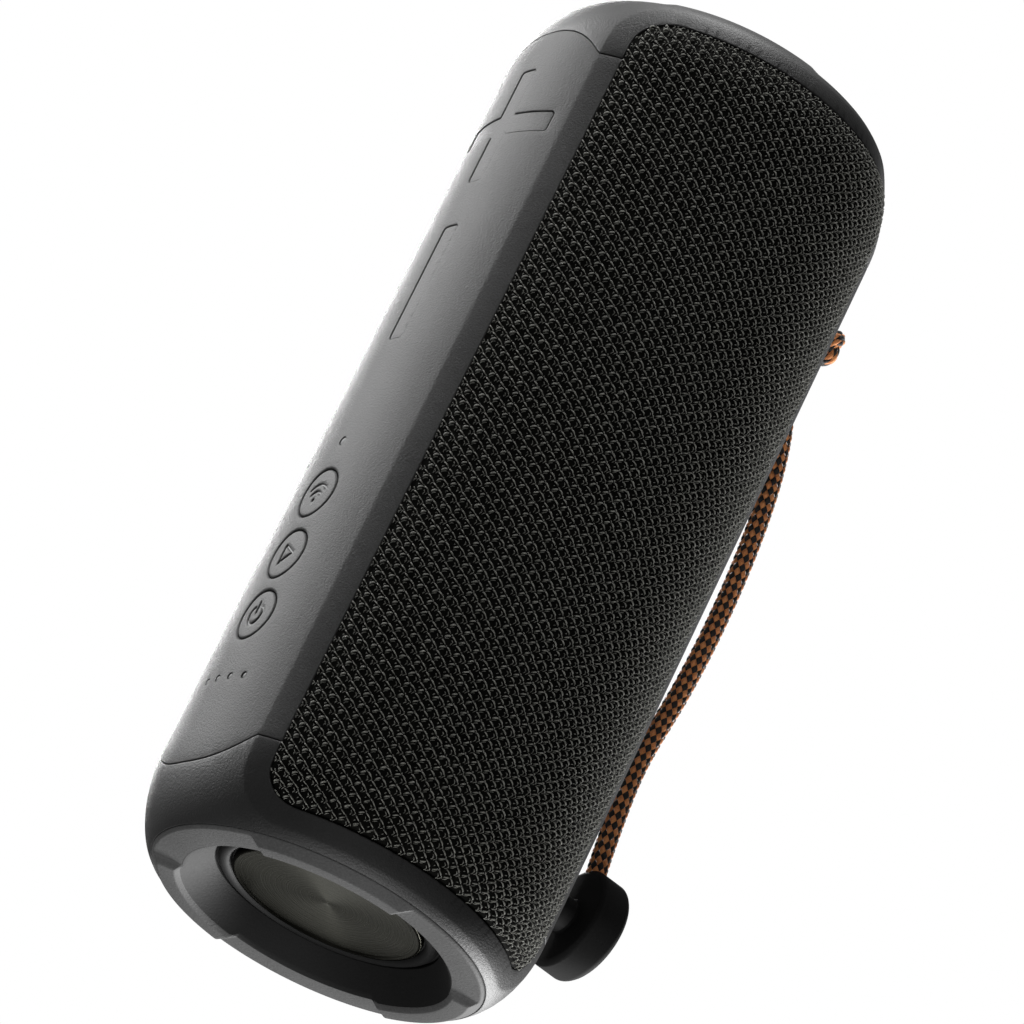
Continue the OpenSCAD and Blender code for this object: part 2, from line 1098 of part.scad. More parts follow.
module strap_anchor() {
    color([0.12, 0.12, 0.13]) {
        difference() {
            intersection() {
                along_y(33.4, 40)
                    translate([0, anchor_z])
                        stadium(anchor_w, anchor_l);
                cylinder(r = body_r - 0.05, h = body_l);
            }
            along_y(34.7, 41)
                translate([0, anchor_z])
                    stadium(anchor_w - 4, anchor_l - 4);
        }
        translate([-anchor_w / 2 + 0.4, bridge_y, anchor_z - 1.9])
            cube([anchor_w - 0.8, bridge_t, 3.8]);
        for (s = [-1, 1])
            translate([s * 4.5 - 0.6, 37, anchor_z - 1.9])
                cube([1.2, bridge_y - 36, 3.8]);
    }
}

lower_cap();
upper_cap();
control_panel();
back_cover();
right_grille_fabric();
left_grille_fabric();
right_grille_frame();
left_grille_frame();
chassis();
lower_end_ring();
upper_end_ring();
lower_radiator_disc();
upper_radiator_disc();
lower_radiator_surround();
upper_radiator_surround();
lower_radiator_frame();
upper_radiator_frame();
lower_cap_gasket();
upper_cap_gasket();
cap_screws();
right_driver_basket();
right_driver_magnet();
right_driver_cone();
right_driver_surround();
left_driver_basket();
left_driver_magnet();
left_driver_cone();
left_driver_surround();
driver_screws();
power_key();
play_key();
wireless_key();
minus_key();
plus_key();
keypad_mat();
tact_switches();
button_board();
battery_light_pipes();
indicator_lens();
main_board();
usb_socket();
board_screws();
port_cover();
battery_cells();
battery_holder();
cable_grommets();
battery_lead();
driver_leads();
button_lead();
strap_cord();
strap_knot();
strap_button();
strap_post();
strap_screw();
strap_anchor();
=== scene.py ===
"""Looks of a portable cylindrical speaker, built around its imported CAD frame.

Outer skins are drawn on a flat map of the body and then wrapped: s runs round the body at its full
radius (0 at -Y, growing towards +X), v runs along it from end to end, and depth goes inwards from
the body's outer form. Map lengths are in millimetres; everything placed in the scene is in metres.
"""
import json
import math

import bmesh
import bpy
import numpy as np
from mathutils import Matrix, Vector
from mathutils.geometry import delaunay_2d_cdt
from mathutils.kdtree import KDTree


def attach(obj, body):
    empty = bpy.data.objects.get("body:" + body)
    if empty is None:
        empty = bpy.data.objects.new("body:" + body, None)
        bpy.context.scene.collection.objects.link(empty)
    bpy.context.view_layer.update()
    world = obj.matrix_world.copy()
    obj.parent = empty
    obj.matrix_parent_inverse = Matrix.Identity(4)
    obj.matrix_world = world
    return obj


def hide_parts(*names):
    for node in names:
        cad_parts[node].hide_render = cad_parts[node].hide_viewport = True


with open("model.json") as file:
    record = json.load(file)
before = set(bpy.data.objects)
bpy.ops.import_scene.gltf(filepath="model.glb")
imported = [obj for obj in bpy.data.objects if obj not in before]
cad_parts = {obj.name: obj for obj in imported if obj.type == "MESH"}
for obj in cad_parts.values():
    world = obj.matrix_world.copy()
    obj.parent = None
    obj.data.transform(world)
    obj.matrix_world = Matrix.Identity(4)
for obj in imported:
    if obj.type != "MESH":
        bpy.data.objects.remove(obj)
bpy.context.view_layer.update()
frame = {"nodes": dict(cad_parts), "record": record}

NODES = frame["nodes"]
MM = 0.001
BODY_R, BODY_L = 39.0, 188.0
END_IN, END_H = 10.0, 17.2
RIM_R = BODY_R - END_IN
SIDE_S = BODY_R * math.pi / 2        # the middle of the +X grille on the map
BACK_S = BODY_R * math.pi            # the middle of the back cover on the map


# ---- camera --------------------------------------------------------------------------------

def make_camera(azimuth, elevation, roll, distance, lens, target, shift):
    """The photograph's viewpoint. shift moves the camera along the picture's right and up."""
    a, e, r = (math.radians(x) for x in (azimuth, elevation, roll))
    back = Vector((math.sin(a) * math.cos(e), -math.cos(a) * math.cos(e), math.sin(e)))
    level = Vector((math.cos(a), math.sin(a), 0))
    rise = level.cross(-back)
    right = math.cos(r) * level + math.sin(r) * rise
    up = math.cos(r) * rise - math.sin(r) * level
    camera = bpy.data.objects.new("camera", bpy.data.cameras.new("camera"))
    camera.data.sensor_width = 36
    camera.data.lens = lens
    camera.data.clip_end = 20
    place_at = Vector(target) + back * distance + right * shift[0] + up * shift[1]
    camera.matrix_world = Matrix.Translation(place_at) @ Matrix((right, up, back)).transposed().to_4x4()
    bpy.context.scene.collection.objects.link(camera)
    bpy.context.scene.camera = camera


MIDDLE = (0, 0, 0.094)
make_camera(63.5, -23.43, 26.18, 1.3889, 262.4, MIDDLE, (-2.08 * MM, -1.35 * MM))
bpy.context.scene.view_settings.view_transform = "Standard"


# ---- materials -----------------------------------------------------------------------------

class Nodes:
    """A short way to write a material's node tree."""

    def __init__(self, name, **sockets):
        self.mat = bpy.data.materials.new(name)
        self.mat.use_nodes = True
        self.tree = self.mat.node_tree
        self.shader = self.tree.nodes["Principled BSDF"]
        for key, value in sockets.items():
            self.shader.inputs[key.replace("_", " ")].default_value = value
        self.coords = self.add("ShaderNodeTexCoord").outputs["Object"]

    def add(self, kind, inputs=None, **settings):
        node = self.tree.nodes.new(kind)
        for key, value in settings.items():
            setattr(node, key, value)
        for key, value in (inputs or {}).items():
            if isinstance(value, bpy.types.NodeSocket):
                self.tree.links.new(value, node.inputs[key])
            else:
                node.inputs[key].default_value = value
        return node

    def noise(self, scale, detail=2.0, roughness=0.5):
        return self.add("ShaderNodeTexNoise", {"Vector": self.coords, "Scale": scale, "Detail": detail,
                                               "Roughness": roughness}).outputs["Fac"]

    def ramp(self, fac, stops):
        node = self.add("ShaderNodeValToRGB", {"Fac": fac})
        ramp = node.color_ramp
        while len(ramp.elements) < len(stops):
            ramp.elements.new(0.5)
        for element, (at, colour) in zip(ramp.elements, stops):
            element.position = at
            element.color = (*colour, 1)
        return node.outputs["Color"]

    def spread(self, fac, low, high):
        return self.add("ShaderNodeMapRange", {"Value": fac, "To Min": low, "To Max": high}).outputs[0]

    def total(self, one, other):
        return self.add("ShaderNodeMath", {0: one, 1: other}, operation="ADD").outputs[0]

    def link(self, socket, key):
        self.tree.links.new(socket, self.shader.inputs[key])

    def bump(self, *layers):
        """Each layer is a height socket and its depth in metres."""
        normal = None
        for height, distance in layers:
            inputs = {"Height": height, "Distance": distance, "Strength": 1.0}
            if normal:
                inputs["Normal"] = normal
            normal = self.add("ShaderNodeBump", inputs).outputs["Normal"]
        self.link(normal, "Normal")


def grey(x, warm):
    return (x * (1 + warm), x, x * (1 - warm))


def moulded(name, shade, rough, grain, grain_depth, warm=0.0, **more):
    """Moulded plastic or rubber: fine grain in colour, gloss and height over broad faint clouds."""
    n = Nodes(name, **more)
    fine = n.noise(grain, 3.0, 0.6)
    cloud = n.noise(38, 4.0, 0.55)
    mixed = n.total(n.spread(cloud, -0.5, 0.5), fine)
    n.link(n.ramp(mixed, [(0.15, grey(shade * 0.68, warm)), (0.5, grey(shade, warm)),
                          (0.85, grey(shade * 1.4, warm))]), "Base Color")
    n.link(n.spread(fine, rough - 0.05, rough + 0.07), "Roughness")
    n.bump((cloud, 0.00002), (fine, grain_depth))
    return n.mat


def spun_metal(name, shade):
    """Metal turned on a lathe: circular marks that draw a highlight out along the radius."""
    n = Nodes(name, Metallic=1.0, Anisotropic=0.85, Specular_Tint=(0.62, 0.62, 0.6, 1))
    split = n.add("ShaderNodeSeparateXYZ", {"Vector": n.coords})
    flat = n.add("ShaderNodeCombineXYZ", {"X": split.outputs["X"], "Y": split.outputs["Y"]})
    radius = n.add("ShaderNodeVectorMath", {0: flat.outputs[0]}, operation="LENGTH").outputs["Value"]
    rings = n.add("ShaderNodeTexNoise", {"W": radius, "Scale": 4200.0, "Detail": 3.0},
                  noise_dimensions="1D").outputs["Fac"]
    n.link(n.ramp(rings, [(0.25, (shade * 0.8, shade * 0.78, shade * 0.66)),
                          (0.75, (shade * 1.25, shade * 1.2, shade * 1.02))]), "Base Color")
    n.link(n.spread(rings, 0.22, 0.34), "Roughness")
    n.link(n.add("ShaderNodeTangent", direction_type="RADIAL", axis="Z").outputs[0], "Tangent")
    n.bump((rings, 0.000003))
    return n.mat


def metal(name, colour, rough):
    n = Nodes(name, Metallic=1.0)
    marks = n.noise(900, 4.0, 0.6)
    n.link(n.ramp(marks, [(0.2, tuple(c * 0.8 for c in colour)), (0.8, colour)]), "Base Color")
    n.link(n.spread(marks, rough - 0.06, rough + 0.1), "Roughness")
    n.bump((marks, 0.00001))
    return n.mat


def yarn(name, dark, light, scale=5200, rough=0.75, sheen=0.25, **more):
    """Twisted fibres: fine streaks of lighter and darker thread."""
    n = Nodes(name, Sheen_Weight=sheen, Sheen_Roughness=0.4, **more)
    fibre = n.noise(scale, 3.0, 0.65)
    patch = n.noise(420, 2.0)
    mixed = n.total(fibre, n.spread(patch, -0.25, 0.25))
    n.link(n.ramp(mixed, [(0.25, dark), (0.75, light)]), "Base Color")
    n.link(n.spread(fibre, rough - 0.1, rough + 0.1), "Roughness")
    n.bump((fibre, 0.00006))
    return n.mat


def circuit(name):
    """A green board with paler tracks."""
    n = Nodes(name)
    tracks = n.add("ShaderNodeTexVoronoi", {"Vector": n.coords, "Scale": 420.0}, distance="CHEBYCHEV",
                   feature="F1").outputs["Distance"]
    n.link(n.ramp(tracks, [(0.0, (0.004, 0.05, 0.018)), (0.5, (0.006, 0.075, 0.026)),
                           (0.62, (0.02, 0.14, 0.05))]), "Base Color")
    n.link(n.spread(tracks, 0.3, 0.5), "Roughness")
    n.bump((tracks, 0.00003))
    return n.mat


CAP = moulded("cap_soft_touch", 0.010, 0.55, 2600, 0.00009, Specular_IOR_Level=0.36)
PANEL = moulded("panel_soft_touch", 0.034, 0.62, 2600, 0.00013, Specular_IOR_Level=0.3)
KEY = moulded("key_soft_touch", 0.034, 0.6, 2600, 0.00012, Specular_IOR_Level=0.3)
# Near black painted into the key icons' grooves, as the shade that falls in them
ICON_GROOVE_SHADE = moulded("icon_groove_painted_shade", 0.004, 0.55, 3000, 0.00001)
RING = moulded("ring_textured", 0.05, 0.65, 2300, 0.00009, Specular_IOR_Level=0.15)
# A darker copy of the ring's plastic: painted shade for the inside of the ring's mouth
RING_THROAT_SHADE = moulded("ring_throat", 0.006, 0.65, 2300, 0.00004, Specular_IOR_Level=0.12)
BACK = moulded("back_soft_touch", 0.015, 0.62, 2600, 0.00013, Specular_IOR_Level=0.25)
BLACK = moulded("black_plastic", 0.012, 0.5, 1700, 0.00002)
CHASSIS = moulded("chassis_plastic", 0.01, 0.6, 1500, 0.00002, Specular_IOR_Level=0.2)
SURROUND = moulded("surround_rubber", 0.005, 0.68, 1800, 0.00002, Specular_IOR_Level=0.12)
SEAL = moulded("seal_rubber", 0.012, 0.7, 1800, 0.00002)
PORT = moulded("port_rubber", 0.012, 0.66, 2200, 0.00005, Specular_IOR_Level=0.25)
BUTTON = moulded("button_rubber", 0.008, 0.8, 2400, 0.00003, Specular_IOR_Level=0.12)
STRAP = moulded("strap_plastic", 0.009, 0.65, 2000, 0.00003, Specular_IOR_Level=0.25)
CONE = moulded("cone_paper", 0.03, 0.85, 2800, 0.00006)
SLEEVE = moulded("cell_sleeve", 0.05, 0.35, 900, 0.00001, warm=-0.3)
WIRE = moulded("wire_sleeve", 0.03, 0.4, 1500, 0.00001)
LIGHT = moulded("light_pipe", 0.05, 0.6, 1500, 0.00002, Specular_IOR_Level=0.3)
KNIT = yarn("knit_ground", (0.0015, 0.0015, 0.0013), (0.008, 0.008, 0.007), 2600, 0.95, 0.0,
            Specular_IOR_Level=0.06)
THREAD = yarn("knit_thread", (0.075, 0.075, 0.065), (0.24, 0.24, 0.215), Specular_IOR_Level=0.2)
ORANGE = yarn("braid_orange", (0.62, 0.19, 0.055), (1.0, 0.42, 0.15))
DARK = yarn("braid_black", (0.004, 0.004, 0.004), (0.02, 0.018, 0.016))
SPUN = spun_metal("radiator_spun", 0.009)
STEEL = metal("screw_steel", (0.42, 0.42, 0.43), 0.32)
MAGNET = metal("magnet_steel", (0.3, 0.3, 0.31), 0.4)
SOCKET = metal("socket_metal", (0.62, 0.62, 0.6), 0.28)
BOARD = circuit("circuit_board")

SLOT_LOOKS = {
    "cap_plastic": CAP, "cover_plastic": PANEL, "key_plastic": KEY, "grille_fabric": KNIT,
    "black_plastic": BLACK, "chassis_plastic": CHASSIS, "ring_plastic": RING,
    "radiator_metal": SPUN, "surround_rubber": SURROUND, "seal_rubber": SEAL,
    "screw_steel": STEEL, "magnet_steel": MAGNET, "cone_paper": CONE, "socket_metal": SOCKET,
    "circuit_board": BOARD, "light_pipe": LIGHT, "port_rubber": PORT, "cell_sleeve": SLEEVE,
    "wire_sleeve": WIRE, "strap_braid": ORANGE, "button_rubber": BUTTON, "strap_plastic": STRAP,
}
for part in frame["record"]["subparts"]:
    node = NODES[part["node"]]
    node.data.materials.clear()
    node.data.materials.append(SLOT_LOOKS[part["material_slot"]])
    node.data.shade_smooth()
    sharp = node.modifiers.new("edges", "EDGE_SPLIT")
    sharp.split_angle = math.radians(32)


# ---- meshes --------------------------------------------------------------------------------

def piece(name, verts, faces, mats, slot, body="body", replaced=(), indices=None):
    """A finished piece: its mesh, materials, body and the CAD nodes it stands for. slot is not used."""
    mesh = bpy.data.meshes.new(name)
    mesh.from_pydata([tuple(map(float, v)) for v in verts], [], [list(f) for f in faces])
    for mat in mats:
        mesh.materials.append(mat)
    if indices is not None:
        mesh.polygons.foreach_set("material_index", np.asarray(indices, np.int32))
    mesh.shade_smooth()
    mesh.update()
    obj = bpy.data.objects.new(name, mesh)
    bpy.context.scene.collection.objects.link(obj)
    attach(obj, body)
    if replaced:
        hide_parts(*replaced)
    return obj


def merge(obj, distance=0.000004):
    """Joins points that lie together, and turns the faces outwards."""
    bm = bmesh.new()
    bm.from_mesh(obj.data)
    bmesh.ops.remove_doubles(bm, verts=bm.verts, dist=distance)
    bmesh.ops.recalc_face_normals(bm, faces=bm.faces)
    bm.to_mesh(obj.data)
    bm.free()


def unit(a):
    return a / np.linalg.norm(a, axis=-1, keepdims=True)


# ---- strap ---------------------------------------------------------------------------------

CORD_D = 3.8
BUTTON_Z = 32
STITCHES_AROUND, STITCH_LENGTH = 8, 2.1
CORD_ROUTE = [
    (47.6, 41.6), (47.2, 44.4), (46.8, 47.5), (46.4, 51), (46, 55), (45.6, 60), (45.5, 65),
    (45.8, 70.5), (46.4, 76), (47, 82), (47.4, 88.5), (47.6, 95), (47.6, 102), (47.4, 109),
    (47, 115.5), (46.4, 122), (45.5, 128.5), (44.4, 134), (43, 139), (41.2, 143.2), (39, 146.8),
    (37.4, 149.9), (36.9, 152.6), (37.5, 155.6), (39.3, 158.2),
]


def smooth_path(points, step):
    """A curve through the points, with rings a step apart."""
    p = np.asarray(points, float)
    p = np.vstack([2 * p[0] - p[1], p, 2 * p[-1] - p[-2]])
    out = []
    for a, b, c, d in zip(p, p[1:], p[2:], p[3:]):
        for t in np.arange(0, 1, 0.04):
            out.append(0.5 * (2 * b + (c - a) * t + (2 * a - 5 * b + 4 * c - d) * t ** 2
                              + (3 * b - a - 3 * c + d) * t ** 3))
    out = np.array(out + [p[-2]])
    run = np.concatenate([[0], np.cumsum(np.linalg.norm(np.diff(out, axis=0), axis=1))])
    at = np.linspace(0, run[-1], int(round(run[-1] / step)) + 1)
    return np.stack([np.interp(at, run, out[:, k]) for k in range(3)], -1), run[-1]


def braid(name, path, around, cell, radius, bulge, **kind):
    """A round braid along the path: diamond stitches that bulge, in two colours by direction.

    around stitches lie side by side in a row, and each is cell long.
    """
    tangents = unit(np.gradient(path, axis=0))
    sides = [unit(np.cross(tangents[0], (0.3, 0.2, 1.0)))]
    for t in tangents[1:]:
        sides.append(unit(sides[-1] - sides[-1].dot(t) * t))
    sides = np.array(sides)
    ups = np.cross(tangents, sides)
    run = np.concatenate([[0], np.cumsum(np.linalg.norm(np.diff(path, axis=0), axis=1))])
    m = 4
    a, b = np.meshgrid(np.linspace(0, 1, m + 1), np.linspace(0, 1, m + 1), indexing="ij")
    rows = int(2 * run[-1] / cell) - 1
    verts, faces, indices = [], [], []
    for k in range(rows + 1):
        along, across = (a, b) if k % 2 else (b, a)
        lift = np.sin(math.pi * across) ** 0.6 * (0.35 + 0.65 * np.sin(math.pi * along))
        lift = np.where((across < 1e-6) | (across > 1 - 1e-6), 0, lift)
        for c in range(around):
            theta = 2 * math.pi * (c + k % 2 / 2) / around + math.pi * (a + b - 1) / around
            at = np.clip((k + 1) * cell / 2 + (a - b) * cell / 2, 0, run[-1])
            r = radius - bulge / 2 + bulge * lift
            mid = np.stack([np.interp(at, run, path[:, i]) for i in range(3)], -1)
            side = np.stack([np.interp(at, run, sides[:, i]) for i in range(3)], -1)
            up = np.stack([np.interp(at, run, ups[:, i]) for i in range(3)], -1)
            outwards = np.cos(theta)[..., None] * side + np.sin(theta)[..., None] * up
            points = mid + r[..., None] * outwards
            start = len(verts)
            verts.extend(points.reshape(-1, 3))
            for i in range(m):
                for j in range(m):
                    q = start + i * (m + 1) + j
                    faces.append((q, q + m + 1, q + m + 2, q + 1))
                    indices.append(k % 2)
    obj = piece(name, verts, faces, [ORANGE, DARK], "strap_braid", indices=indices, **kind)
    merge(obj, 0.00001)
    return obj


def lathe(profile, steps, centre=(0, 0, 0), axis="Z", wave=None):
    """Turns (radius, height) points round an axis. wave changes a point by its angle."""
    verts, faces = [], []
    n = len(profile)
    for i in range(steps):
        angle = 2 * math.pi * i / steps
        ring = profile if wave is None else wave(angle)
        for r, h in ring:
            x, y = r * math.sin(angle), -r * math.cos(angle)
            point = (x, y, h) if axis == "Z" else (x, h, y)
            verts.append([(p + c) * MM for p, c in zip(point, centre)])
    for i in range(steps):
        for k in range(n - 1):
            a, b = i * n + k, (i + 1) % steps * n + k
            faces.append((a, b, b + 1, a + 1))
    return verts, faces


def fillet(points, radii, closed=True, steps=5):
    """Rounds a polyline's corners with arcs that start radii before and end radii after each."""
    out = []
    n = len(points)
    for i, (p, r) in enumerate(zip(np.asarray(points, float), radii)):
        if r == 0 or (not closed and i in (0, n - 1)):
            out.append(p)
            continue
        before = p + unit(np.asarray(points[i - 1], float) - p) * r
        after = p + unit(np.asarray(points[(i + 1) % n], float) - p) * r
        for t in np.linspace(0, 1, steps + 1):
            out.append((1 - t) ** 2 * before + 2 * t * (1 - t) * p + t ** 2 * after)
    return np.array(out)


route = [(0, y * MM, z * MM) for y, z in CORD_ROUTE]
cord_path, cord_length = smooth_path(route, 0.8 * MM)
cord = braid("strap_braid", cord_path, STITCHES_AROUND, STITCH_LENGTH * MM, CORD_D / 2 * MM, 0.32 * MM,
             replaced=["strap_cord"])

turn = np.linspace(0, 2 * math.pi, 120)
knot_curve = np.stack([np.sin(turn) + 2 * np.sin(2 * turn), -np.sin(3 * turn) * 1.1,
                       np.cos(turn) - 2 * np.cos(2 * turn)], -1) * 0.82 * MM
knot_curve += np.array([0, 43.2, 160.2]) * MM
knot = braid("strap_end_knot", knot_curve, STITCHES_AROUND, STITCH_LENGTH * MM, 1.75 * MM, 0.3 * MM,
             replaced=["strap_knot"])

button_profile = fillet(
    [(0, 45.2), (3.4, 45.2), (3.8, 45.5), (9.6, 45.5), (10.5, 46.2), (10.5, 51.6), (9.4, 52.8),
     (7.9, 52.8), (7.6, 52.5), (0, 52.5)],
    [0, 0.15, 0.15, 0.5, 0.35, 0.6, 0.7, 0.15, 0.15, 0], closed=False)
button_verts, button_faces = lathe(button_profile, 96, centre=(0, 0, BUTTON_Z), axis="Y")
button = piece("strap_rubber_button", button_verts, button_faces, [BUTTON], "button_rubber",
               replaced=["strap_button"])
merge(button)


# ---- the map and its wrapping --------------------------------------------------------------

ARC = np.linspace(0, math.pi / 2, 500)
arc_speed = np.hypot(END_IN * np.cos(ARC), END_H * np.sin(ARC))
arc_run = np.concatenate([[0], np.cumsum((arc_speed[1:] + arc_speed[:-1]) / 2 * np.diff(ARC))])
ARC_V = END_H - arc_run[-1] + arc_run


def at_height(z):
    """The map's v at a height z."""
    z = np.asarray(z, float)
    angle = np.arccos(np.clip((END_H - z) / END_H, 0, 1))
    return np.where(z < END_H, np.interp(angle, ARC, ARC_V), z)


def wrap(s, v, depth):
    """Points of the map on the body, depth millimetres inside its outer form."""
    s, v, depth = np.broadcast_arrays(*(np.asarray(x, float) for x in (s, v, depth)))
    upper = v > BODY_L / 2
    w = np.where(upper, BODY_L - v, v)
    a = np.interp(w, ARC_V, ARC)
    r = RIM_R + END_IN * np.sin(a)
    z = np.where(w < END_H, END_H - END_H * np.cos(a), w)
    nr, nz = np.sin(a) / END_IN, -np.cos(a) / END_H
    size = np.hypot(nr, nz)
    r = r - depth * nr / size
    z = z - depth * nz / size
    z = np.where(upper, BODY_L - z, z)
    return np.stack([r * np.sin(s / BODY_R), -r * np.cos(s / BODY_R), z], -1) * MM


def fine(points, step=0.7, closed=False):
    """The polyline with no segment longer than step."""
    p = np.asarray(points, float)
    if closed:
        p = np.vstack([p, p[:1]])
    out = []
    for a, b in zip(p, p[1:]):
        n = max(1, int(math.ceil(np.linalg.norm(b - a) / step - 1e-6)))
        out.extend(a + (b - a) * i / n for i in range(n))
    return np.array(out if closed else out + [p[-1]])


def oblong(cs, cv, hs, hv, rs, rv, steps=14):
    """A rectangle of the map with elliptical corners, anticlockwise from its lower right."""
    out = []
    for k, (x, y) in enumerate([(1, -1), (1, 1), (-1, 1), (-1, -1)]):
        for t in np.linspace(0, math.pi / 2, steps + 1):
            a = t + (k - 1) * math.pi / 2
            out.append((cs + x * (hs - rs) + rs * math.cos(a), cv + y * (hv - rv) + rv * math.sin(a)))
    return np.array(out)


def tree_of(points):
    tree = KDTree(len(points))
    for i, (x, y) in enumerate(points):
        tree.insert((x, y, 0), i)
    tree.balance()
    return tree


def distances(tree, points):
    return np.array([tree.find((x, y, 0))[2] for x, y in points])


def within(points, loops):
    """Whether each point lies inside the loops, counted even and odd."""
    points = np.asarray(points, float)
    out = np.zeros(len(points), bool)
    for loop in loops:
        a, b = loop, np.roll(loop, -1, axis=0)
        for lo in range(0, len(points), 4000):
            x, y = points[lo:lo + 4000, :1], points[lo:lo + 4000, 1:]
            cross = (a[:, 1] > y) != (b[:, 1] > y)
            with np.errstate(divide="ignore", invalid="ignore"):
                edge = (b[:, 0] - a[:, 0]) * (y - a[:, 1]) / (b[:, 1] - a[:, 1]) + a[:, 0]
            out[lo:lo + 4000] ^= (np.sum(cross & (x < edge), axis=1) % 2).astype(bool)
    return out


# The window a grille shows through, and the crest its sloping band starts from
MID_V = BODY_L / 2
WINDOW = (39.68, MID_V - float(at_height(6.8)), 8.2, 7.1)
CREST = (44.58, MID_V - float(at_height(3.2)), 12.0, 10.0)
BAND_DEPTH = 0.8


def corner_quarter(shape):
    loop = oblong(0, 0, *shape)
    loop = fine(loop, 0.12, closed=True)
    return loop[(loop[:, 0] > -1) & (loop[:, 1] > -1)]


WINDOW_TREE, CREST_TREE = tree_of(corner_quarter(WINDOW)), tree_of(corner_quarter(CREST))


def folded(points):
    """Distances of map points from the middle of the nearest grille, round and along the body."""
    s = np.abs((points[:, 0] + BACK_S) % (2 * BACK_S) - BACK_S)
    return np.stack([np.abs(s - SIDE_S), np.abs(points[:, 1] - MID_V)], -1)


def inside_oblong(p, shape):
    hs, hv, rs, rv = shape
    x = np.clip((p[:, 0] - (hs - rs)) / rs, 0, None)
    y = np.clip((p[:, 1] - (hv - rv)) / rv, 0, None)
    return x ** 2 + y ** 2 < 1


def band(points):
    """Depth of the sloping band round each grille."""
    p = folded(points)
    depth = np.zeros(len(p))
    found = inside_oblong(p, CREST)
    if found.any():
        outer, inner = distances(CREST_TREE, p[found]), distances(WINDOW_TREE, p[found])
        t = outer / (outer + inner + 1e-9)
        ease = 0.09
        t = np.where(t < ease, t * t / (2 * ease), t - ease / 2) / (1 - ease / 2)
        depth[found] = BAND_DEPTH * t
    return depth


def crest_points():
    """Map points beside the crest and the window's edge of the +X grille."""
    out = []
    for inset in (-0.9, -0.35, 0.0, 0.25, 0.5, 0.9, 1.6):
        hs, hv, rs, rv = CREST
        loop = oblong(SIDE_S, MID_V, hs - inset, hv - inset, rs - inset, rv - inset)
        out.append(fine(loop, 1.2, closed=True))
    ring = np.vstack(out)
    return np.vstack([ring, ring * (-1, 1), ring + (BACK_S, 0), ring * (-1, 1) + (2 * BACK_S, 0)])


RING_POINTS = crest_points()


def plate(name, edges, mats, slot, step=2.3, relief=band, wall=1.2, extra=None, top=False, shaded_faces=None,
          **kind):
    """A curved shell, cut on the map and wrapped.

    Each of edges is a loop, its rounding, and which of its points have no wall (None if all have one);
    the first is the outline. relief gives the face's depth at map points, extra adds map points to the
    mesh, and its last argument picks the faces that take the second material, a near-black painted
    shade. top turns the piece over, for the upper end.
    """
    loops = [loop for loop, _, _ in edges]
    rounded, beside = [], []
    for loop, rounding, bare in edges:
        keep = np.ones(len(loop), bool) if bare is None else ~bare
        dense = fine(np.vstack([loop, loop[:1]]), 0.07)
        if bare is not None:
            dense = dense[distances(tree_of(loop[keep]), dense) < 0.75]
        rounded.append((tree_of(dense), rounding))
        forward = unit(np.roll(loop, -1, axis=0) - np.roll(loop, 1, axis=0))
        inward = np.stack([-forward[:, 1], forward[:, 0]], -1)
        if not within(loop[:1] + inward[:1] * 0.05, loops)[0]:
            inward = -inward
        for share in (0.08, 0.3, 0.62, 1.0):
            if rounding > 0:
                ring = (loop + inward * rounding * share)[keep]
                beside.append(ring[distances(rounded[-1][0], ring) > rounding * share * 0.9])
    segments, start = [], 0
    for loop in loops:
        n = len(loop)
        segments += [(start + i, start + (i + 1) % n) for i in range(n)]
        start += n
    lo, hi = loops[0].min(0), loops[0].max(0)
    grid = []
    for j, y in enumerate(np.arange(lo[1], hi[1], step * 0.87)):
        xs = np.arange(lo[0] + (j % 2) * step / 2, hi[0], step)
        grid.append(np.stack([xs, np.full(len(xs), y)], -1))
    grid = np.vstack(grid)
    if extra is not None:
        near = tree_of(extra)
        grid = np.vstack([grid[distances(near, grid) > min(0.9, step * 0.6)], extra])
    grid = grid[np.all((grid > lo) & (grid < hi), axis=1)]
    grid = grid[within(grid, loops)]
    edge_tree = tree_of(np.vstack(loops))
    grid = grid[distances(edge_tree, grid) > max([r for _, r in rounded] + [0.12]) * 1.3]
    everything = np.vstack(loops + [b[within(b, loops)] for b in beside] + [grid])
    flat, _, tris, origin, _, _ = delaunay_2d_cdt(
        [Vector(p) for p in everything], segments, [], 0, 1e-5)
    flat = np.array([tuple(p) for p in flat])
    tris = np.array([t for t in tris if len(t) == 3])
    tris = tris[within(flat[tris].mean(1), loops)]
    depth = relief(flat)
    for tree, radius in rounded:
        if radius > 0:
            d = np.clip(distances(tree, flat), 0, radius)
            depth += radius - np.sqrt(np.clip(radius ** 2 - (radius - d) ** 2, 0, None))
    outer = wrap(flat[:, 0], flat[:, 1], depth)
    inner = wrap(flat[:, 0], flat[:, 1], depth + wall)
    count = len(flat)
    where = {}
    for new, olds in enumerate(origin):
        for old in olds:
            where[old] = new
    faces = [tuple(t) for t in tris] + [(t[2] + count, t[1] + count, t[0] + count) for t in tris]
    start = 0
    for loop, _, bare in edges:
        n = len(loop)
        for i in range(n):
            j = (i + 1) % n
            if bare is not None and bare[i] and bare[j]:
                continue
            p, q = where[start + i], where[start + j]
            if p != q:
                faces.append((q, p, p + count, q + count))
        start += n
    verts = np.vstack([outer, inner])
    if top:
        verts = verts * (1, 1, -1) + (0, 0, BODY_L * MM)
    indices = None
    # Faces picked here take the second material: near-black painted shade in the icon grooves
    if shaded_faces is not None:
        shade_marked = shaded_faces(flat[tris].mean(1))
        indices = np.zeros(len(faces), int)
        indices[:len(tris)] = shade_marked
    used = np.unique(np.concatenate([np.asarray(f) for f in faces]))
    renumber = -np.ones(len(verts), int)
    renumber[used] = np.arange(len(used))
    faces = [tuple(int(renumber[i]) for i in f) for f in faces]
    obj = piece(name, verts[used], faces, mats, slot, indices=indices, **kind)
    merge(obj)
    return obj


# ---- caps, panel and back cover ------------------------------------------------------------

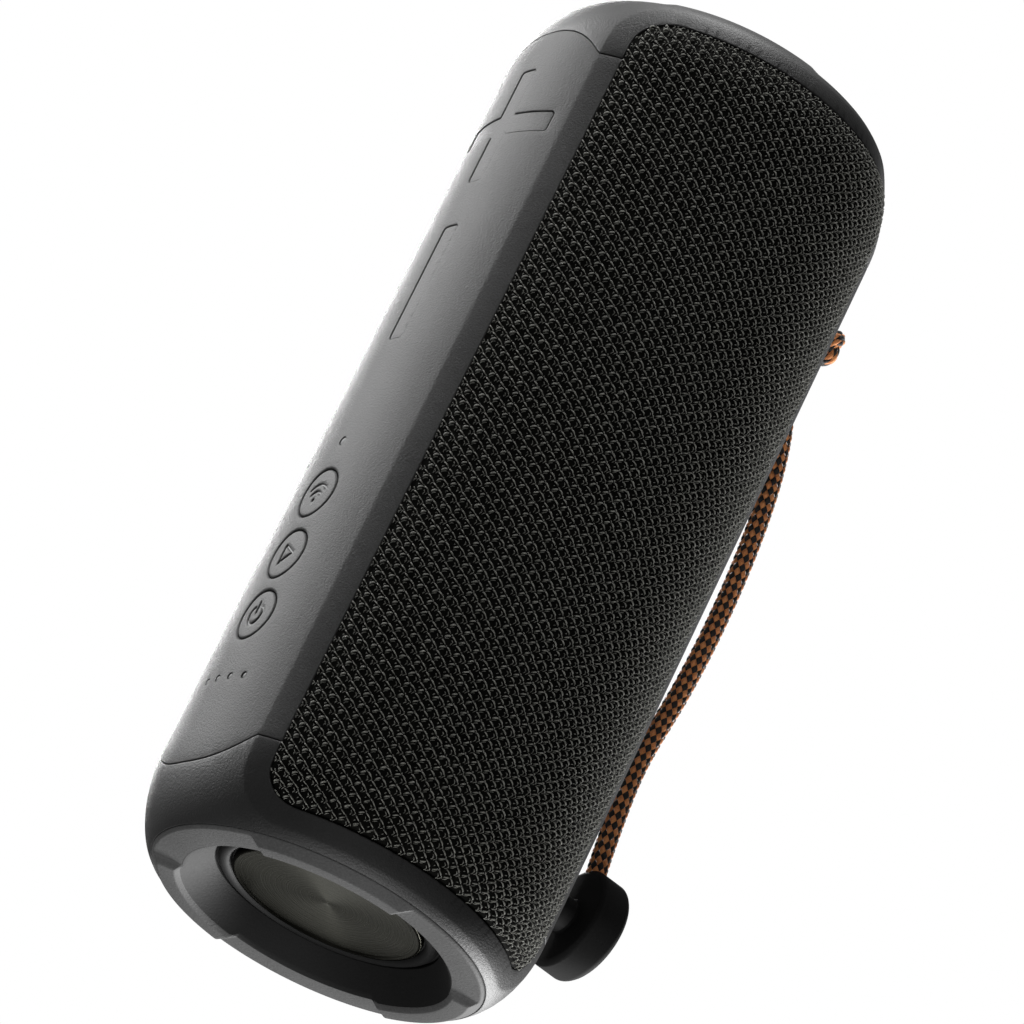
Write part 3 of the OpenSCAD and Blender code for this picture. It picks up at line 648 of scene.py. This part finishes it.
SEAM_Z, TONGUE, PANEL_HALF, EDGE_HALF = 18.0, 6.05, 16.68, 21.58
SEAM_GAP = 0.07
CAP_Z = 1.72          # where a cap ends against its ring
EDGE_ROUND = 0.22


def seam(s, gap):
    """The v of the line between a cap and the panel, s from the panel's middle."""
    u = np.clip(np.abs(s) / PANEL_HALF, 0, 1)
    return at_height(SEAM_Z + gap - TONGUE * (1 - u ** 2.6))


def seam_line(middle, gap):
    s = np.linspace(-EDGE_HALF, EDGE_HALF, 64)
    return np.stack([s + middle, seam(s, gap)], -1)


def window_foot(middle):
    """The lower part of a window's edge, from left to right."""
    hs, hv, rs, rv = WINDOW
    loop = oblong(0, 0, hs, hv, rs, rv)
    left, right = loop[45:60], loop[0:15]
    start = SEAM_Z - SEAM_GAP - MID_V
    line = np.vstack([[[-hs, start]], left, right, [[hs, start]]])
    return fine(line + (middle, MID_V), 0.7)


def cap_outline():
    """The lower cap's outline, opened out behind the -X grille, and which points lie on that cut."""
    base = float(at_height(CAP_Z))
    left, right = window_foot(-SIDE_S), window_foot(3 * SIDE_S)
    line = np.vstack([
        left[left[:, 0] > -SIDE_S + 0.01], seam_line(0, -SEAM_GAP)[1:-1], window_foot(SIDE_S),
        seam_line(BACK_S, -SEAM_GAP)[1:-1], right[right[:, 0] < 3 * SIDE_S - 0.01]])
    top_v = MID_V - WINDOW[1]
    ends = [(-SIDE_S, v) for v in np.linspace(base, top_v, 10)]
    others = [(3 * SIDE_S, v) for v in np.linspace(top_v, base, 10)]
    floor = fine([(3 * SIDE_S, base), (-SIDE_S, base)], 0.8)[1:-1]
    loop = np.vstack([ends, line, others, floor])
    return loop, np.isclose(loop[:, 0], -SIDE_S) | np.isclose(loop[:, 0], 3 * SIDE_S)


cap_loop, cap_bare = cap_outline()
cap_loop, cap_bare = cap_loop[::-1].copy(), cap_bare[::-1].copy()
plate("lower_cap_shell", [(cap_loop, EDGE_ROUND, cap_bare)], [CAP], "cap_plastic", extra=RING_POINTS,
      replaced=["lower_cap"])
plate("upper_cap_shell", [(cap_loop, EDGE_ROUND, cap_bare)], [CAP], "cap_plastic", extra=RING_POINTS,
      top=True, replaced=["upper_cap"])


def strip_outline(middle):
    """The outline of the panel or of the back cover."""
    low = seam_line(middle, SEAM_GAP)
    high = low[::-1] * (1, -1) + (0, BODY_L)
    return fine(np.vstack([low, high]), 0.7, closed=True)


def circle(s, v, r, n=48):
    t = np.linspace(0, 2 * math.pi, n, endpoint=False)
    return np.stack([s + r * np.cos(t), v + r * np.sin(t)], -1)


def bars(s, v, shapes, grow, corner):
    """The outline of one bar, or of two crossed ones: each is half its width and half its length."""
    wide, long = shapes[0][0] + grow, shapes[0][1] + grow
    if len(shapes) == 1:
        corners = [(wide, -long), (wide, long), (-wide, long), (-wide, -long)]
        radii = [corner] * 4
    else:
        arm, half = shapes[1][0] + grow, shapes[1][1] + grow
        corners = [(wide, -long), (wide, -half), (arm, -half), (arm, half), (wide, half), (wide, long),
                   (-wide, long), (-wide, half), (-arm, half), (-arm, -half), (-wide, -half),
                   (-wide, -long)]
        inner = max(0.1, 0.5 - grow)
        radii = [corner, inner, corner, corner, inner, corner] * 2
    return fine(fillet(corners, radii), 0.6, closed=True) + (s, v)


# Round keys from bottom to top, then the two long ones: half sizes, then gaps and edge roundings
KEY_R, KEY_Z = 5.15, (43.7, 57.0, 70.5)
BAR = (2.2, 12.75)
ARM = (13.4, 2.2)
KEY_ARM = (13.25, 2.2)   # shorter, so the ends stay clear of the panel when the key is pressed
MINUS_Z, PLUS_Z = 118.0, 154.0
KEY_GAP, KEY_ROUND = 0.16, 0.6
BAR_GAP, BAR_ROUND = 0.08, 0.3
BAR_CORNER, BAR_HOLE_CORNER = 0.8, 0.9
LED_Z, LED_STEP, LED_R, LED_HOLE_R = 30.0, 4.2, 0.6, 0.72
LAMP_Z, LAMP_R, LAMP_HOLE_R = 82.0, 0.82, 0.95
LED_PLACES = [((i - 1.5) * LED_STEP, LED_Z) for i in range(4)]

holes = [(circle(0, z, KEY_R + KEY_GAP, 64), KEY_ROUND, None) for z in KEY_Z]
holes += [(bars(0, MINUS_Z, [BAR], BAR_GAP, BAR_HOLE_CORNER), BAR_ROUND, None),
          (bars(0, PLUS_Z, [BAR, ARM], BAR_GAP, BAR_HOLE_CORNER), BAR_ROUND, None)]
holes += [(circle(s, z, LED_HOLE_R, 24), 0.08, None) for s, z in LED_PLACES]
holes += [(circle(0, LAMP_Z, LAMP_HOLE_R, 24), 0.08, None)]
plate("control_panel_shell", [(strip_outline(0), EDGE_ROUND, None)] + holes, [PANEL], "cover_plastic",
      extra=RING_POINTS, replaced=["control_panel"])


# ---- keys ----------------------------------------------------------------------------------

def arc_stroke(cx, cy, r, start, end, n=40):
    """Points along an arc, from one angle to another in degrees."""
    t = np.radians(np.linspace(start, end, n))
    return np.stack([cx + r * np.cos(t), cy + r * np.sin(t)], -1)


# Strokes of each round key's icon, from its middle, before ICON_SIZE
ICONS = {
    "power_key": [arc_stroke(0, -0.15, 1.75, 122, 418), np.array([(0, 0.3), (0, 2.25)])],
    "play_key": [np.array([(-1.05, -1.75), (1.85, 0), (-1.05, 1.75), (-1.05, -1.75)])],
    "wireless_key": [arc_stroke(0, -1.5, 0.12, 0, 360, 8), arc_stroke(0, -1.5, 1.6, 40, 140),
                     arc_stroke(0, -1.5, 3.0, 45, 135)],
}
STROKE, ICON_SIZE = 0.27, 1.14
ICON_DEPTH = 0.28
KEY_TOP = 0.12        # how far a round key's rim lies below the panel's face
KEY_CROWN = 0.1       # how far its middle stands above the rim
BAR_TOP = 0.2
# Where a stroke gets mesh points: its middle, and beside the two slopes of its groove
ACROSS_STROKE = (-0.37, -0.27, -0.17, 0, 0.17, 0.27, 0.37)


def round_key(name, z):
    """A round key's crowned cap, with its icon pressed in and its grooves painted near black as shade.
    """
    strokes = [fine(line * ICON_SIZE + (0, z), 0.1) for line in ICONS[name]]
    tree = tree_of(np.vstack(strokes))

    def relief(points):
        d = distances(tree, points)
        groove = ICON_DEPTH * np.clip((STROKE + 0.1 - d) / 0.2, 0, 1)
        r = np.hypot(points[:, 0], points[:, 1] - z)
        return KEY_TOP - KEY_CROWN * (1 - (r / KEY_R) ** 2) + groove

    beside = []
    for line in strokes:
        forward = unit(np.gradient(line, axis=0))
        side = np.stack([-forward[:, 1], forward[:, 0]], -1)
        for offset in ACROSS_STROKE:
            beside.append(line + side * offset)
    beside = np.vstack(beside)
    beside = beside[np.hypot(beside[:, 0], beside[:, 1] - z) < KEY_R - 0.6]
    # The icon's grooves take the second material, a near-black painted shade
    plate(name + "_cap", [(circle(0, z, KEY_R, 64), 0.5, None)], [KEY, ICON_GROOVE_SHADE], "key_plastic", step=0.6,
          relief=relief, extra=beside, shaded_faces=lambda p: distances(tree, p) < STROKE,
          body=name, replaced=[name])


for key_name, key_height in zip(ICONS, KEY_Z):
    round_key(key_name, key_height)


def sunk(points):
    return np.full(len(points), BAR_TOP)


LONG_KEYS = [("minus_key", MINUS_Z, [BAR]), ("plus_key", PLUS_Z, [BAR, KEY_ARM])]
for key_name, key_height, shape in LONG_KEYS:
    plate(key_name + "_cap", [(bars(0, key_height, shape, 0, BAR_CORNER), 0.12, None)], [KEY],
          "key_plastic", step=1.4, relief=sunk, body=key_name, replaced=[key_name])


def pegs(name, places, r, replaced):
    """Small domed light pipes that end just under the panel's face."""
    verts, faces = [], []
    for x, z in places:
        face = math.sqrt(BODY_R ** 2 - x ** 2) - 0.04
        profile = fillet([(0, -face), (r, -face + 0.12), (r, -face + 3)], [0, 0.12, 0], closed=False)
        peg_verts, peg_faces = lathe(profile, 20, centre=(x, 0, z), axis="Y")
        faces += [tuple(i + len(verts) for i in f) for f in peg_faces]
        verts += peg_verts
    obj = piece(name, verts, faces, [LIGHT], "light_pipe", replaced=replaced)
    merge(obj)


pegs("battery_light_tips", LED_PLACES, LED_R, ["battery_light_pipes"])
pegs("indicator_tip", [(0, LAMP_Z)], LAMP_R, ["indicator_lens"])


# ---- back cover and port cover -------------------------------------------------------------

PORT_S, PORT_V, PORT_HALF = BACK_S + math.radians(13) * BODY_R, 97.0, (5.115, 12.0)
ANCHOR_Z, ANCHOR_HALF = 152.5, (5.62, 12.1)



def port_outline(shift, grow_s, grow_v):
    """The port's outline, moved towards the hinge by shift and grown."""
    hs, hv = PORT_HALF[0] + grow_s, PORT_HALF[1] + grow_v
    return fine(oblong(PORT_S + shift, PORT_V, hs, hv, 0.6, 0.6, 5), 0.7, closed=True)


# The port's hole is wider at the hinge, where the cover's edge turns
back_holes = [
    (port_outline(0.05, 0.17, 0.12), 0.2, None),
    (fine(oblong(BACK_S, ANCHOR_Z, *ANCHOR_HALF, 5.6, 5.6), 0.7, closed=True), 0.3, None),
    (circle(BACK_S, BUTTON_Z, 1.6, 24), 0.1, None),
]
plate("back_cover_shell", [(strip_outline(BACK_S), EDGE_ROUND, None)] + back_holes, [BACK],
      "cover_plastic", extra=RING_POINTS, replaced=["back_cover"])


def flap_relief(points):
    """A face just below the back cover's, with a scoop for a fingertip at the free edge."""
    across, along = points[:, 0] - PORT_S + 4.2, points[:, 1] - PORT_V
    return 0.08 + 0.45 * np.exp(-(across / 1.1) ** 2 - (along / 3.2) ** 2)


plate("port_flap", [(port_outline(-0.03, -0.08, -0.05), 0.4, None)], [PORT], "port_rubber", step=0.9,
      relief=flap_relief, wall=1.0, body="port_cover", replaced=["port_cover"])


# ---- grilles -------------------------------------------------------------------------------

FABRIC_DEPTH = 0.95
GROUND_PAST = 0.25    # how far the ground runs under the window's edge


def fabric_relief(points):
    p = folded(points)
    edge = distances(WINDOW_TREE, p)
    return FABRIC_DEPTH + 0.5 * np.clip(1 - edge / 1.2, 0, 1) ** 2


def mirrored(obj, name, replaced=()):
    """The piece again on the -X side."""
    mesh = obj.data.copy()
    mesh.name = name
    mesh.transform(Matrix.Diagonal((-1, 1, 1, 1)))
    mesh.flip_normals()
    other = bpy.data.objects.new(name, mesh)
    bpy.context.scene.collection.objects.link(other)
    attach(other, "body")
    if replaced:
        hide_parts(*replaced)


ground_loop = fine(oblong(SIDE_S, MID_V, *(size + GROUND_PAST for size in WINDOW)), 0.9, closed=True)
ground = plate("right_grille_ground", [(ground_loop, 0, None)], [KNIT], "grille_fabric", step=1.5,
               relief=fabric_relief, wall=0.5, replaced=["right_grille_fabric"])
mirrored(ground, "left_grille_ground", ["left_grille_fabric"])

STITCH_S, STITCH_V = 2.92, 2.34
# Threads of one stitch, from its node on the map: start, end, half thickness, depth
STITCH = [
    ((-1.36, 0.88), (-0.30, 0.20), 0.20, 0.52),
    ((0.14, -0.16), (1.16, -0.80), 0.20, 0.55),
    ((-1.06, -0.82), (-0.10, -0.24), 0.23, 0.50),
    ((-0.98, -1.14), (-0.22, -0.68), 0.15, 0.72),
    ((-0.14, 0.12), (0.16, -0.10), 0.17, 0.50),
    ((0.38, -0.86), (0.74, -1.36), 0.15, 0.60),
    ((0.76, -1.34), (0.44, -1.82), 0.14, 0.66),
    ((1.46, -1.14), (0.92, -1.74), 0.12, 0.76),
    ((-1.26, -0.10), (-0.98, 0.10), 0.16, 0.56),
    ((1.12, -0.80), (1.52, -1.26), 0.14, 0.62),
]


def threads(lower):
    """The raised threads over the lower or the upper half of the +X grille."""
    hs, hv, rs, rv = WINDOW
    rows, columns = int(hv / STITCH_V) + 1, int(2 * hs / STITCH_S) + 2
    j, i = np.meshgrid(np.arange(rows), np.arange(columns), indexing="ij")
    s = (SIDE_S - hs + i * STITCH_S).ravel()
    v = (MID_V - (j + 0.5) * STITCH_V if lower else MID_V + (j + 0.5) * STITCH_V).ravel()
    rng = np.random.default_rng(7 if lower else 8)
    verts, faces = [], []
    count = 0
    for (a, b), (c, d), half, depth in STITCH:
        lines = np.stack([s + a, v + b, s + c, v + d], -1)
        lines = lines + rng.normal(0, 0.045, lines.shape)
        for end in (0, 2):
            lines = lines[inside_oblong(folded(lines[:, end:end + 2]), (hs - 0.1, hv - 0.1, rs, rv))]
        start, end = lines[:, :2], lines[:, 2:]
        if half > 0.18:
            stations, sink = (0, 0.28, 0.72, 1), (0.3, 0, 0, 0.3)
        else:
            stations, sink = (0, 0.5, 1), (0.22, 0, 0.22)
        forward = unit(end - start)
        side = np.stack([-forward[:, 1], forward[:, 0]], -1)
        n, around = len(lines), 4      # each thread is a four-sided tube
        points = np.zeros((n, len(stations), around, 3))
        high = depth + rng.normal(0, 0.025, n)
        for k, (t, low) in enumerate(zip(stations, sink)):
            mid = start + (end - start) * t
            r = half * (0.48 if t in (0, 1) else 0.74)
            for q in range(around):
                angle = math.pi / 2 * q + math.pi / 4
                points[:, k, q, :2] = mid + side * (r * math.cos(angle))
                points[:, k, q, 2] = high + low - r * math.sin(angle)
        verts.append(wrap(points[..., 0], points[..., 1], points[..., 2]).reshape(-1, 3))
        per = len(stations) * around
        cell = [(k * around + q, k * around + (q + 1) % around, (k + 1) * around + (q + 1) % around,
                 (k + 1) * around + q) for k in range(len(stations) - 1) for q in range(around)]
        cell += [tuple(range(around - 1, -1, -1)), tuple(range(per - around, per))]
        base = count + (np.arange(n) * per)[:, None]
        for f in cell:
            faces.extend((base + np.array(f)).tolist())
        count += n * per
    return np.vstack(verts), faces


for half_name, is_lower in (("lower", True), ("upper", False)):
    thread_verts, thread_faces = threads(is_lower)
    knit = piece("right_grille_threads_" + half_name, thread_verts, thread_faces, [THREAD],
                 "grille_fabric")
    mirrored(knit, "left_grille_threads_" + half_name)


# ---- ends ----------------------------------------------------------------------------------

LUG_H, GAP_HALF, RAMP = 1.2, 32.2, 1.7    # the lugs' height, half a gap and half a ramp in degrees
SHADED_THROAT_R = 26.9                           # the ring's plastic is painted darker inside this radius, as shade in its mouth


def ring_profile(angle):
    """The ring's section at an angle: lugs reach down to 0, the gaps between them stand back."""
    turn = (math.degrees(angle) + 60) % 120 - 60
    u = min(1, max(0, (GAP_HALF + RAMP - abs(turn)) / (2 * RAMP)))
    h = LUG_H * u * u * (3 - 2 * u)
    outer, inner = 31.2 + 2 * h / 1.7, 27.9 - 0.9 * h
    corners = [(33.05, 3.9), (33.2, 3.7), (33.2, 1.72), (outer, h), (inner, h), (inner - 0.7, h + 0.55),
               (22.5, 6.2), (22.5, 6.65)]
    return fillet(corners, [0, 0.1, 0.25, 0.3, 0.22, 0.3, 0.15, 0], closed=False, steps=4)


def placed(verts, top):
    """The points as they are, or turned over for the upper end."""
    return np.array(verts) * (1, 1, -1) + (0, 0, BODY_L * MM) if top else np.array(verts)


def end_ring(name, top, node_name):
    verts, faces = lathe(ring_profile(0), 480, wave=ring_profile)
    verts = placed(verts, top)
    middles = verts[np.array(faces)].mean(1)
    # Faces inside that radius take the darker copy: painted shade
    throat = np.hypot(middles[:, 0], middles[:, 1]) < SHADED_THROAT_R * MM
    merge(piece(name, verts, faces, [RING, RING_THROAT_SHADE], "ring_plastic", replaced=[node_name],
                indices=throat))


def radiator(name, top, body, node_name):
    """A shallow domed disc with a small boss in its middle and a turned-in rim."""
    profile = [(0, 6.15), (0.8, 6.17)]
    profile += [(r, 6.2 - 0.55 * (r / 19) ** 1.6) for r in np.linspace(1.4, 17.6, 46)]
    profile += [(18.1, 5.55), (18.7, 5.62), (18.95, 5.8), (19, 6.7)]
    verts, faces = lathe(profile, 160)
    merge(piece(name, placed(verts, top), faces, [SPUN], "radiator_metal", body=body,
                replaced=[node_name]))


end_ring("lower_ring_skin", False, "lower_end_ring")
end_ring("upper_ring_skin", True, "upper_end_ring")
radiator("lower_radiator_plate", False, "lower_radiator", "lower_radiator_disc")
radiator("upper_radiator_plate", True, "upper_radiator", "upper_radiator_disc")


# ---- floor and light -----------------------------------------------------------------------

def make_floor():
    """A pale floor that is only there from above, since the photograph looks up from under it."""
    mesh = bpy.data.meshes.new("floor")
    mesh.from_pydata([(-3, -3, 0), (3, -3, 0), (3, 3, 0), (-3, 3, 0)], [], [(0, 1, 2, 3)])
    floor = bpy.data.objects.new("floor", mesh)
    bpy.context.scene.collection.objects.link(floor)
    mat = bpy.data.materials.new("floor_paper")
    mat.use_nodes = True
    tree = mat.node_tree
    shader = tree.nodes["Principled BSDF"]
    shader.inputs["Base Color"].default_value = (0.86, 0.86, 0.86, 1)
    shader.inputs["Roughness"].default_value = 0.9
    clear = tree.nodes.new("ShaderNodeBsdfTransparent")
    mix = tree.nodes.new("ShaderNodeMixShader")
    side = tree.nodes.new("ShaderNodeNewGeometry")
    tree.links.new(side.outputs["Backfacing"], mix.inputs["Fac"])
    tree.links.new(shader.outputs[0], mix.inputs[1])
    tree.links.new(clear.outputs[0], mix.inputs[2])
    tree.links.new(mix.outputs[0], tree.nodes["Material Output"].inputs["Surface"])
    mesh.materials.append(mat)
    floor.visible_shadow = False
    floor.visible_diffuse = False
    floor.visible_glossy = False


def softbox(name, direction, distance, size, power):
    """A soft light that faces the object's middle from a direction."""
    light = bpy.data.lights.new(name, "AREA")
    light.shape = "RECTANGLE"
    light.size, light.size_y = size
    light.energy = power
    lamp = bpy.data.objects.new(name, light)
    toward = Vector(direction).normalized()
    lamp.location = Vector(MIDDLE) + toward * distance
    lamp.rotation_euler = toward.to_track_quat("Z", "Y").to_euler()
    bpy.context.scene.collection.objects.link(lamp)


def make_world():
    """White where the camera sees it, and dim where it lights the object."""
    world = bpy.data.worlds.new("studio")
    world.use_nodes = True
    tree = world.node_tree
    back = tree.nodes["Background"]
    back.inputs["Color"].default_value = (1, 1, 1, 1)
    path = tree.nodes.new("ShaderNodeLightPath")
    level = tree.nodes.new("ShaderNodeMapRange")
    level.inputs["To Min"].default_value = 0.13
    level.inputs["To Max"].default_value = 1.0
    tree.links.new(path.outputs["Is Camera Ray"], level.inputs["Value"])
    tree.links.new(level.outputs[0], back.inputs["Strength"])
    bpy.context.scene.world = world


make_floor()
make_world()
softbox("left_key", (-0.69, -0.58, 0.43), 1.1, (0.4, 0.6), 19)
softbox("left_behind", (-0.88, 0.16, 0.44), 1.1, (0.3, 0.5), 14)
softbox("right_behind", (-0.47, 0.75, 0.46), 1.1, (0.3, 0.3), 0.8)
softbox("low_behind", (-0.36, 0.83, -0.42), 0.9, (0.26, 0.26), 15)
softbox("overhead", (0.03, -0.2, 0.97), 0.8, (0.34, 0.34), 8)
softbox("under_fill", (0.1, 0.1, -0.99), 1.0, (0.4, 0.4), 8)
softbox("under_glint", (-0.82, 0.41, -0.40), 1.0, (0.2, 0.2), 0.3)
softbox("front_fill", (0.75, -0.6, 0.25), 1.4, (0.8, 0.8), 3.5)
